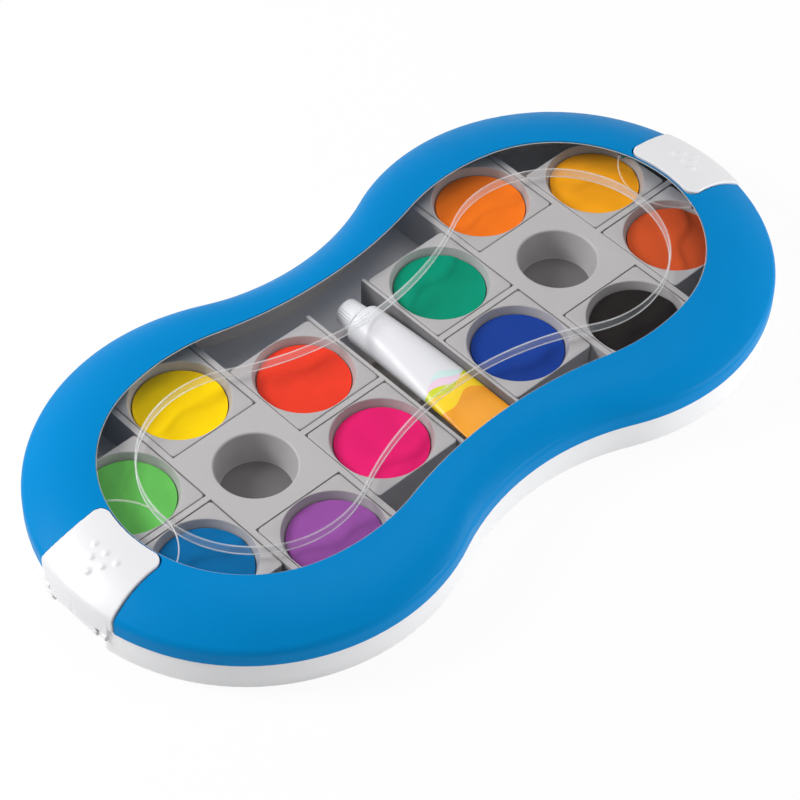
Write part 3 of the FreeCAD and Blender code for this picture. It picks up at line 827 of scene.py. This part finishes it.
@dataclass
class SwingClips:
    """Swing clips at both ends, with the soft edges of a moulding."""

    voxel: float = 0.27
    rounds: int = 8
    round_share: float = 0.5
    crease: float = 60.0
    barrel_r: float = 2.0
    barrel_slim_r: float = 1.75
    barrel_core_r: float = 1.5
    pin_r: float = 1.2
    barrel_half: float = 8.2
    barrel_wide_half: float = 11.2
    tab_low: float = 10.7
    tab_drop: float = 9.7
    tab_half: float = 13.9
    tab_wide_half: float = 14.7
    flap_z: float = 13.5

    def build(self) -> None:
        """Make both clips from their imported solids."""
        for body in (Body.CLIP_LEFT, Body.CLIP_RIGHT):
            piece = copy_of(body.value + "_moulding", body.value)
            self.shape_heel(piece)
            remesh = piece.modifiers.new("even", "REMESH")
            remesh.mode = "VOXEL"
            remesh.voxel_size = self.voxel * MM
            smooth = piece.modifiers.new("round", "SMOOTH")
            smooth.factor = self.round_share
            smooth.iterations = self.rounds
            settle(piece, self.crease)
            # Clips wear the white with painted shade.
            fit(piece, WHITE_PAINTED_SHADE, body, "clip_white", body.value)

    def shape_heel(self, piece: Piece) -> None:
        """Slim and lengthen the barrel, and draw the tab down and out towards the lugs.

        Args:
            piece: Copy of a clip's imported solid.
        """
        for vertex in piece.data.vertices:
            spot = HingeSpot(vertex)
            on_barrel = spot.reach < self.barrel_r + NEAR
            if (spot.across < self.barrel_half + NEAR and spot.up < CLOSE
                    and on_barrel and spot.reach > self.barrel_core_r):
                spot.draw_in(self.barrel_slim_r)
            elif (spot.across > self.barrel_half - NEAR
                    and abs(vertex.co.z / MM - self.tab_low) < CLOSE):
                vertex.co.z = self.tab_drop * MM
            if (abs(spot.across - self.barrel_half) < CLOSE
                    and on_barrel and spot.reach > self.pin_r):
                spot.slide(self.barrel_wide_half)
            if abs(spot.across - self.tab_half) < CLOSE and vertex.co.z / MM < self.flap_z:
                spot.slide(self.tab_wide_half)


@dataclass
class ClearWindow:
    """Clear sheet of the lid, with a two-lobed rib and thin end ribs under it."""

    top: float = 25.4
    thick: float = 1.5
    gap: float = 0.1
    edge_r: float = 0.5
    rib_width: float = 0.8
    rib_depth: float = 3.6
    rib_r: float = 0.25
    bead_r: float = 0.16
    bead_sides: int = 8
    rim_drop: float = 0.3
    end_rib_reach: float = 16.4
    end_rib_gap: float = 0.4
    end_rib_width: float = 0.4
    end_rib_depth: float = 0.6
    end_rib_sink: float = 0.05
    end_rib_r: float = 0.15
    end_rib_steps: int = 24

    def build(self) -> None:
        """Make the sheet and its ribs, with painted highlights along their edges."""
        fit(self.pane(), PANE, Body.LID, "window_clear", "lid_window")
        fit(self.palette_rib(), RIB_MILK_AND_REFLECTION, Body.LID, "window_clear")
        under, middle = self.top - self.thick, self.rib_width / 2
        low = under - self.rib_depth + self.bead_r
        rim = self.gap + self.bead_r
        # Bead lines of painted highlight along the rib's edges and the window's rim.
        for name, outline, inset, z, finish in (
                ("window_rib_edge_low", PALETTE, middle, low, LOW_EDGE_PAINTED_HIGHLIGHT),
                ("window_rib_edge_high", PALETTE, middle, under, HIGH_EDGE_PAINTED_HIGHLIGHT),
                ("window_rim", OPENING, rim, self.top - self.rim_drop, RIM_PAINTED_HIGHLIGHT)):
            fit(self.bead(name, outline, inset, z), finish, Body.LID, "window_clear")
        # The left end rib gets more painted highlight than the right.
        for (side, end), finish in zip(SIDES, (THIN_RIGHT_PAINTED_HIGHLIGHT, THIN_LEFT_PAINTED_HIGHLIGHT)):
            fit(self.end_rib("window_end_rib_" + end, side), finish, Body.LID, "window_clear")

    def pane(self) -> Piece:
        """Flat sheet with a rounded upper edge.

        Returns:
            The new piece.
        """
        profile = [(self.gap, self.top - self.thick)]
        profile += rounded((self.gap, self.top), (0, -self.edge_r), (self.edge_r, 0), steps=4)
        return skin("window_pane", [OPENING.loop(*p) for p in profile])

    def palette_rib(self) -> Piece:
        """Two-lobed rib under the sheet, with rounded lower edges.

        Returns:
            The new piece.
        """
        under = self.top - self.thick
        low = under - self.rib_depth
        edge = rounded((0, low), (0, self.rib_r), (self.rib_r, 0), steps=3)
        inner = [(self.rib_width - inset, z) for inset, z in reversed(edge)]
        profile = [(0, under), *edge, *inner, (self.rib_width, under)]
        return skin("window_palette_rib", [PALETTE.loop(*p) for p in profile], wrap=True)

    def bead(self, name: str, outline: LobedOutline, inset: float, z: float) -> Piece:
        """Thin round line of painted highlight along an outline, where an edge of clear plastic
        gathers light.

        Args:
            name: Name of the piece.
            outline: Outline that it follows.
            inset: How far it lies inside the outline.
            z: Height of its middle.

        Returns:
            The new piece.
        """
        loops = [outline.loop(inset + self.bead_r * math.cos(a), z + self.bead_r * math.sin(a))
                 for a in full_turn(self.bead_sides)]
        return skin(name, loops, wrap=True)

    def end_rib(self, name: str, side: int) -> Piece:
        """Thin curved rib across the tip of the palette rib, from frame to frame.

        Args:
            name: Name of the piece.
            side: Side along X.

        Returns:
            The new piece.
        """
        tip = PALETTE.end_x + PALETTE.end_r - self.rib_width / 2
        reach = OPENING.end_r - self.gap - self.end_rib_gap
        far = OPENING.end_x + math.sqrt(reach**2 - self.end_rib_reach**2)
        middle = (far**2 + self.end_rib_reach**2 - tip**2) / (2 * (far - tip))
        radius = middle - tip
        swing = math.asin(self.end_rib_reach / radius)
        under = self.top - self.thick + self.end_rib_sink
        low = under - self.end_rib_depth
        half, cut = self.end_rib_width / 2, self.end_rib_r
        sides = ((half, under), (half, low + cut), (half - cut, low), (cut - half, low),
                 (-half, low + cut), (-half, under))
        loops = []
        for k in range(2 * self.end_rib_steps + 1):
            a = swing * (k / self.end_rib_steps - 1)
            c, s = side * math.cos(a), math.sin(a)
            loops.append([(side * middle - (radius + r) * c, (radius + r) * s, z)
                          for r, z in sides])
        return skin(name, loops)


@dataclass
class Tray:
    """Grey tray under the pans: floor, partition walls with the mixing wells, and tube saddles."""

    soft_edge: float = 0.28
    painted_shade_below: float = 7.2
    channel_x: float = 10.6
    channel_wide_x: float = 11.5

    def build(self) -> None:
        """Dress the floor and saddles in a grey painted lighter, and make the partitions of both
        lobes with painted shade on the well floors and on the channel walls.
        """
        for node in ("pan_tray", "saddle_far", "saddle_near"):
            # Floor and saddles get the painted light, lighter than the partitions' grey.
            dress(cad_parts[node], TRAY_FLOOR_PAINTED_LIGHT)
        for side in ("left", "right"):
            piece = self.partitions(side)
            dress(piece, TRAY_GREY, WELL_FLOOR_PAINTED_SHADE, CHANNEL_WALL_PAINTED_SHADE)
            for face in piece.data.polygons:
                x, z = abs(face.center.x) / MM, face.center.z / MM
                # Upward faces low in the wells get the painted shade.
                if face.normal.z > FACING and z < self.painted_shade_below:
                    face.material_index = 1
                # Walls facing across the tube's channel get painted shade.
                elif abs(face.normal.x) > FACING and x < self.channel_wide_x + NEAR:
                    face.material_index = 2
            place(piece, Body.BASE, "tray_grey", "ribs_" + side, "mixing_well_" + side)

    def partitions(self, side: str) -> Piece:
        """Partition walls and mixing well of one lobe as one moulding with soft edges.

        Args:
            side: Name of the lobe.

        Returns:
            The new piece, a little wider at the tube's channel.
        """
        piece = copy_of("partitions_" + side, "ribs_" + side)
        for vertex in piece.data.vertices:
            if abs(abs(vertex.co.x) / MM - self.channel_x) < CLOSE:
                vertex.co.x = math.copysign(self.channel_wide_x * MM, vertex.co.x)
        well = copy_of("well_" + side, "mixing_well_" + side)
        union = piece.modifiers.new("well", "BOOLEAN")
        union.operation = "UNION"
        union.solver = "EXACT"
        union.object = well
        settle(piece)
        bpy.data.objects.remove(well)
        soften(piece, self.soft_edge)
        return piece


class Paint(Enum):
    """Paints: name, lobe, column and row of the pan, colour, turn and shift of the wave."""

    YELLOW = ("yellow", -1, 0, 1, linear(255, 210, 0), -2, -4.5)
    VIOLET = ("violet", -1, 0, -1, linear(149, 80, 160), -13, -1.4)
    RED = ("red", -1, 1, 1, linear(236, 62, 40), -21, 4.2)
    MAGENTA = ("magenta", -1, 1, -1, linear(230, 28, 110), -4, -9.3)
    LIGHT_GREEN = ("light_green", -1, -1, 1, linear(106, 194, 92), 46, 0.0)
    CYAN = ("cyan", -1, -1, -1, linear(0, 104, 162), -12, 2.0)
    ORANGE = ("orange", 1, 0, 1, linear(252, 122, 28), -6, -4.6)
    BLACK = ("black", 1, 0, -1, linear(34, 30, 30), 0, -4.0)
    EMERALD = ("emerald", 1, -1, 1, linear(0, 146, 114), 8, 2.8)
    ULTRAMARINE = ("ultramarine", 1, -1, -1, linear(24, 62, 150), -10, -8.0)
    OCHRE = ("ochre", 1, 1, 1, linear(246, 164, 22), -24, 0.7)
    RUSSET = ("russet", 1, 1, -1, linear(205, 82, 38), 40, -4.0)

    def __init__(self, *values: str | float | Colour) -> None:
        """Name the values of one paint, the turn in degrees and the shift in millimetres."""
        self.label, self.lobe, self.column, self.row, self.colour, self.turn, self.shift = values


@dataclass
class PanSet:
    """Twelve square pans and the round tablets of paint in them."""

    well_x: float = 65.6
    pitch: float = 36.0
    half: float = 16.6
    corner_r: float = 1.2
    corner_steps: tuple[float, ...] = (0.5, 1.0, 1.5, 2.0)
    draft: float = 0.4
    top: float = 18.5
    bottom: float = 3.4
    edge_r: float = 0.36
    lip_r: float = 0.4
    edge_room: float = 2.2
    cup_top_r: float = 16.3
    cup_flare_r: float = 15.5
    cup_floor_r: float = 14.7
    cup_floor_z: float = 8.4
    cup_fillet: float = 0.1
    cup_fillet_in: float = 0.3
    paint_top: float = 16.5
    paint_gap: float = 0.5
    paint_edge: float = 0.3
    wave_height: float = 0.6
    wave_bend: float = 1.4
    wave_rate: float = 0.30
    wave_level: float = -0.4
    step_share: float = 0.45
    step_width: float = 1.0
    swell_share: float = 0.75
    swell_shift: float = 2.0
    swell_width: float = 3.0
    rings: int = 44
    spokes: int = 144
    pan_crease: float = 40.0
    tablet_crease: float = 60.0

    def build(self) -> None:
        """Make every pan and tablet."""
        for paint in Paint:
            pan, cake = "pan_" + paint.label, "paint_" + paint.label
            fit(self.pan(paint), PAN_GREY, Body.BASE, "pan_grey", pan)
            finish = PaintCake("cake_" + paint.label, paint.colour)
            fit(self.tablet(paint), finish, Body.BASE, cake, cake)

    def centre(self, paint: Paint) -> Point:
        """Middle of a paint's pan in the plan."""
        y = paint.row * self.pitch if paint.column == 0 else paint.row * self.pitch / 2
        return paint.lobe * self.well_x + paint.column * self.pitch, y

    def angles(self) -> list[float]:
        """Directions about a pan's middle, closer together at its corners.

        Returns:
            The angles in radians, in order.
        """
        found = {360 * k / self.spokes for k in range(self.spokes)}
        for corner in (45, 135, 225, 315):
            for step in self.corner_steps:
                found.update((corner - step, corner + step))
        return [math.radians(a) for a in sorted(found)]

    def square_reach(self, angle: float, half: float) -> float:
        """Distance from the middle to a rounded square.

        Args:
            angle: Direction.
            half: Half width of the square.

        Returns:
            The distance.
        """
        c, s = abs(math.cos(angle)), abs(math.sin(angle))
        reach = half / max(c, s)
        inner = half - self.corner_r
        if reach * c > inner and reach * s > inner:
            along = inner * (c + s)
            reach = along + math.sqrt(along**2 - 2 * inner**2 + self.corner_r**2)
        return reach

    def pan(self, paint: Paint) -> Piece:
        """Square pan with a round drafted cup and soft edges.

        Args:
            paint: Paint in the pan.

        Returns:
            The new piece.
        """
        x, y = self.centre(paint)
        columns = []
        for a in self.angles():
            room = (self.square_reach(a, self.half) - self.cup_top_r) / self.edge_room
            edge, lip = min(self.edge_r, room), min(self.lip_r, room)
            profile = [(self.square_reach(a, self.half - self.draft), self.bottom)]
            profile += [(self.square_reach(a, half), z) for half, z
                        in rounded((self.half, self.top), (0, -edge), (-edge, 0), steps=4)]
            profile += rounded((self.cup_top_r, self.top), (lip, 0), (0, -lip), steps=4)
            profile += [(self.cup_flare_r, self.paint_top),
                        (self.cup_floor_r + self.cup_fillet, self.cup_floor_z + self.cup_fillet),
                        (self.cup_floor_r - self.cup_fillet_in, self.cup_floor_z)]
            columns.append([(x + r * math.cos(a), y + r * math.sin(a), z) for r, z in profile])
        loops = [list(ring) for ring in zip(*columns)]
        return skin("pan_cup_" + paint.label, loops, crease=self.pan_crease)

    def relief(self, paint: Paint, u: float, v: float) -> float:
        """Height of the pressed wave on a tablet.

        Args:
            paint: Paint of the tablet.
            u: Place along X from the middle.
            v: Place along Y from the middle.

        Returns:
            Height over the flat top.
        """
        a = math.radians(paint.turn)
        p = u * math.cos(a) + v * math.sin(a)
        q = v * math.cos(a) - u * math.sin(a)
        crest = paint.shift + self.wave_bend * math.sin(p * self.wave_rate + paint.shift)
        gap = q - crest
        step = math.tanh(gap / self.step_width)
        swell = math.exp(-((gap - self.swell_shift) / self.swell_width) ** 2)
        share = self.step_share * step + self.swell_share * swell + self.wave_level
        return self.wave_height * share

    def tablet(self, paint: Paint) -> Piece:
        """Round tablet of paint with a pressed wave on top.

        Args:
            paint: Paint of the tablet.

        Returns:
            The new piece.
        """
        x, y = self.centre(paint)
        flat = self.cup_flare_r - self.paint_gap - self.paint_edge
        level = self.paint_top - self.wave_height

        def ring(radius: float, z: float, wavy: float) -> Loop:
            """Ring of the tablet, lifted by a share of the wave."""
            places = [(radius * math.cos(a), radius * math.sin(a)) for a in full_turn(self.spokes)]
            return [(x + u, y + v, z + wavy * self.relief(paint, u, v)) for u, v in places]

        loops = [ring(self.cup_floor_r - self.paint_gap, self.cup_floor_z, 0.0)]
        for a in quarter_turn(steps=4):
            height = level - self.paint_edge * (1 - math.sin(a))
            loops.append(ring(flat + self.paint_edge * math.cos(a), height, math.sin(a)))
        loops += [ring(flat * (1 - k / self.rings), level, 1.0) for k in range(1, self.rings)]
        return skin("tablet_" + paint.label, loops, crease=self.tablet_crease)


@dataclass
class PaintTube:
    """Tube of white lying between the pans, with a crimped tail and a screw cap."""

    x: float = 2.4
    z: float = 12.9
    tail_x: float = 0.7
    tail_z: float = 16.0
    radius: float = 7.1
    bulge: float = 0.9
    bulge_shift: float = 0.8
    shoulder_y: float = 24.6
    shoulder_length: float = 1.4
    shoulder_r: float = 0.5
    flat_y: float = -36.5
    flat_width: float = 19.2
    flat_thick: float = 1.4
    widen_power: float = 1.6
    flatten_power: float = 1.35
    run_steps: int = 40
    crimp: float = 3.6
    crimp_gap: float = 0.2
    crimp_thick: float = 2.0
    crimp_groove: float = 0.22
    crimp_steps: int = 8
    neck_r: float = 3.2
    neck_length: float = 5.0
    collar: float = 0.6
    cap_r: float = 5.0
    cap_tip_r: float = 4.5
    cap_length: float = 7.4
    cap_gap: float = 0.3
    cap_roof: float = 1.4
    cap_chamfer: float = 0.2
    cap_skirt: float = 0.9
    cap_edge_r: float = 0.8
    flutes: int = 30
    flute_sides: int = 6
    flute_depth: float = 0.14
    flute_start: float = 1.1
    flute_short: float = 2.3
    flute_rows: int = 10
    around: int = 96
    crease: float = 50.0

    def build(self) -> None:
        """Make the tube and its cap."""
        fit(self.body(), TUBE_PRINT, Body.BASE, "tube_white", "tube_body")
        # The cap wears the white with painted shade.
        fit(self.cap(), WHITE_PAINTED_SHADE, Body.TUBE_CAP, "cap_white", "tube_cap")

    def section(self, y: float, width: float, height: float, x: float, z: float) -> Loop:
        """Oval across the tube, with half its width and half its height about a middle."""
        return [(x + width * math.cos(a), y, z + height * math.sin(a))
                for a in full_turn(self.around)]

    def body(self) -> Piece:
        """Tube from its neck over the shoulder to the folded tail.

        Returns:
            The new piece.
        """
        seat = self.shoulder_y + self.shoulder_length
        collar_r = self.neck_r + self.collar
        rounds = [(seat + self.neck_length, self.neck_r), (seat, self.neck_r), (seat, collar_r)]
        soft = self.shoulder_r
        rounds += rounded((self.shoulder_y + soft, self.radius), (0, -soft), (-soft, 0), steps=5)
        loops = [self.section(y, r, r, self.x, self.z) for y, r in rounds]
        run = self.shoulder_y - self.flat_y
        for k in range(1, self.run_steps + 1):
            share = k / self.run_steps
            widen, flatten, bend = share**self.widen_power, share**self.flatten_power, share**2
            width = self.radius + (self.flat_width / 2 - self.radius) * widen
            height = self.radius + (self.flat_thick / 2 - self.radius) * flatten
            swell = self.bulge * math.sin(math.pi * share)
            x = self.x + (self.tail_x - self.x) * bend + swell * self.bulge_shift
            z = self.z + (self.tail_z - self.z) * bend
            loops.append(self.section(self.shoulder_y - run * share, width + swell, height, x, z))
        for k in range(self.crimp_steps + 1):
            fold = (self.crimp - self.crimp_gap) * k / self.crimp_steps
            thick = self.crimp_thick / 2 - (self.crimp_groove if k % 2 else 0.0)
            loops.append(self.crimp_section(self.flat_y - self.crimp_gap - fold, thick))
        return skin("tube_skin", loops, crease=self.crease)

    def crimp_section(self, y: float, thick: float) -> Loop:
        """Flat folded section of the tail.

        Args:
            y: Station along the tube.
            thick: Half thickness.

        Returns:
            The closed loop.
        """
        points = []
        half, tiny = self.flat_width / 2, 1e-6
        for a in full_turn(self.around):
            c, s = math.cos(a), math.sin(a)
            reach = min(half / max(abs(c), tiny), thick / max(abs(s), tiny))
            points.append((self.tail_x + reach * c, y, self.tail_z + reach * s))
        return points

    def cap(self) -> Piece:
        """Screw cap with fine flutes and a rounded top.

        Returns:
            The new piece.
        """
        start = self.shoulder_y + self.shoulder_length + self.cap_gap
        end = start + self.cap_length
        inner = self.neck_r + self.cap_gap
        turn = full_turn(self.flutes * self.flute_sides)

        def ring(y: float, radius: float, flute: float = 0.0) -> Loop:
            """Ring of the cap, with flutes cut into it."""
            rays = [(radius - flute / 2 * (1 + math.cos(a * self.flutes)), a) for a in turn]
            return [(self.x + r * math.cos(a), y, self.z + r * math.sin(a)) for r, a in rays]

        loops = [ring(end - self.cap_roof, inner), ring(start, inner),
                 ring(start, self.cap_r - self.cap_chamfer),
                 ring(start + self.cap_chamfer, self.cap_r),
                 ring(start + self.cap_skirt, self.cap_r)]
        for k in range(self.flute_rows + 1):
            share = k / self.flute_rows
            y = start + self.flute_start + (self.cap_length - self.flute_short) * share
            radius = self.cap_r + (self.cap_tip_r - self.cap_r) * share
            loops.append(ring(y, radius, self.flute_depth))
        edge = self.cap_edge_r
        top = rounded((end, self.cap_tip_r), (-edge, 0), (0, -edge), steps=5)
        loops += [ring(y, radius) for y, radius in top]
        return skin("tube_screw_cap", loops, crease=self.crease)


@dataclass
class Studio:
    """Pale floor, soft lights and the camera of the photograph."""

    azimuth: float = 44.18
    elevation: float = 48.366
    roll: float = 1.294
    target: tuple[float, float, float] = (-14.83, -10.42, 18.5)
    distance: float = 903.56
    focal_px: float = 2891.68
    frame_px: float = 800.0
    sensor: float = 36.0
    fill: float = 0.36
    floor_glow: float = 0.93
    floor_half: float = 4.0
    floor_tone: Colour = (0.9, 0.9, 0.9)
    floor_roughness: float = 0.9
    clip: Point = (0.01, 50.0)

    def build(self) -> None:
        """Set the stage."""
        self.camera()
        self.world()
        self.floor()
        self.lamp("key_left", (-510, 462, 520), (300, 300), 5.1)
        self.lamp("top_soft", (190, 30, 640), (420, 420), 1.25)
        self.lamp("front_right", (560, -620, 62), (520, 110), 4.6)
        bpy.context.scene.view_settings.view_transform = "Standard"

    def camera(self) -> None:
        """Camera at the photograph's viewing angle."""
        az, el = math.radians(self.azimuth), math.radians(self.elevation)
        ahead = Vector((math.cos(el) * math.sin(az), math.cos(el) * math.cos(az), -math.sin(el)))
        data = bpy.data.cameras.new("photo_camera")
        camera = bpy.data.objects.new("photo_camera", data)
        bpy.context.scene.collection.objects.link(camera)
        camera.rotation_mode = "QUATERNION"
        level = ahead.to_track_quat("-Z", "Y")
        camera.rotation_quaternion = Quaternion(ahead, -math.radians(self.roll)) @ level
        camera.location = (Vector(self.target) - ahead * self.distance) * MM
        data.sensor_width = self.sensor
        data.lens = self.focal_px * self.sensor / self.frame_px
        data.clip_start, data.clip_end = self.clip
        bpy.context.scene.camera = camera

    def world(self) -> None:
        """White surroundings that light the object at a plain level."""
        nodes = NodeTree("studio", world=True)
        nodes.feed("Color", PURE_WHITE)
        nodes.feed("Strength", self.fill)
        nodes.show_white("ShaderNodeBackground", 1.0)
        bpy.context.scene.world = nodes.owner

    def floor(self) -> None:
        """Pale floor that keeps a faint shadow."""
        half = self.floor_half
        mesh = bpy.data.meshes.new("floor")
        corners = [(-half, -half, 0), (half, -half, 0), (half, half, 0), (-half, half, 0)]
        mesh.from_pydata(corners, [], [(0, 1, 2, 3)])
        floor = new_object("floor", mesh)
        nodes = NodeTree("floor_white")
        nodes.feed("Base Color", self.floor_tone)
        nodes.feed("Roughness", self.floor_roughness)
        nodes.feed("Specular IOR Level", 0.0)
        nodes.show_white("ShaderNodeEmission", self.floor_glow)
        mesh.materials.append(nodes.owner)

    def lamp(self, name: str, spot: tuple[float, float, float], size: tuple[float, float],
             power: float) -> None:
        """Soft light aimed at the box.

        Args:
            name: Name of the lamp.
            spot: Place in millimetres.
            size: Width and height in millimetres.
            power: Power in watts.
        """
        data = bpy.data.lights.new(name, "AREA")
        data.shape = "RECTANGLE"
        data.size = size[0] * MM
        data.size_y = size[1] * MM
        data.energy = power
        lamp = bpy.data.objects.new(name, data)
        lamp.location = Vector(spot) * MM
        lamp.rotation_mode = "QUATERNION"
        lamp.rotation_quaternion = (-lamp.location).to_track_quat("-Z", "Y")
        bpy.context.scene.collection.objects.link(lamp)


def main() -> None:
    """Build the sub-assemblies in order."""
    logging.basicConfig(level=logging.INFO)
    for assembly in (Case(), SwingClips(), ClearWindow(), Tray(), PanSet(), PaintTube(), Studio()):
        assembly.build()


if __name__ == "__main__":
    main()
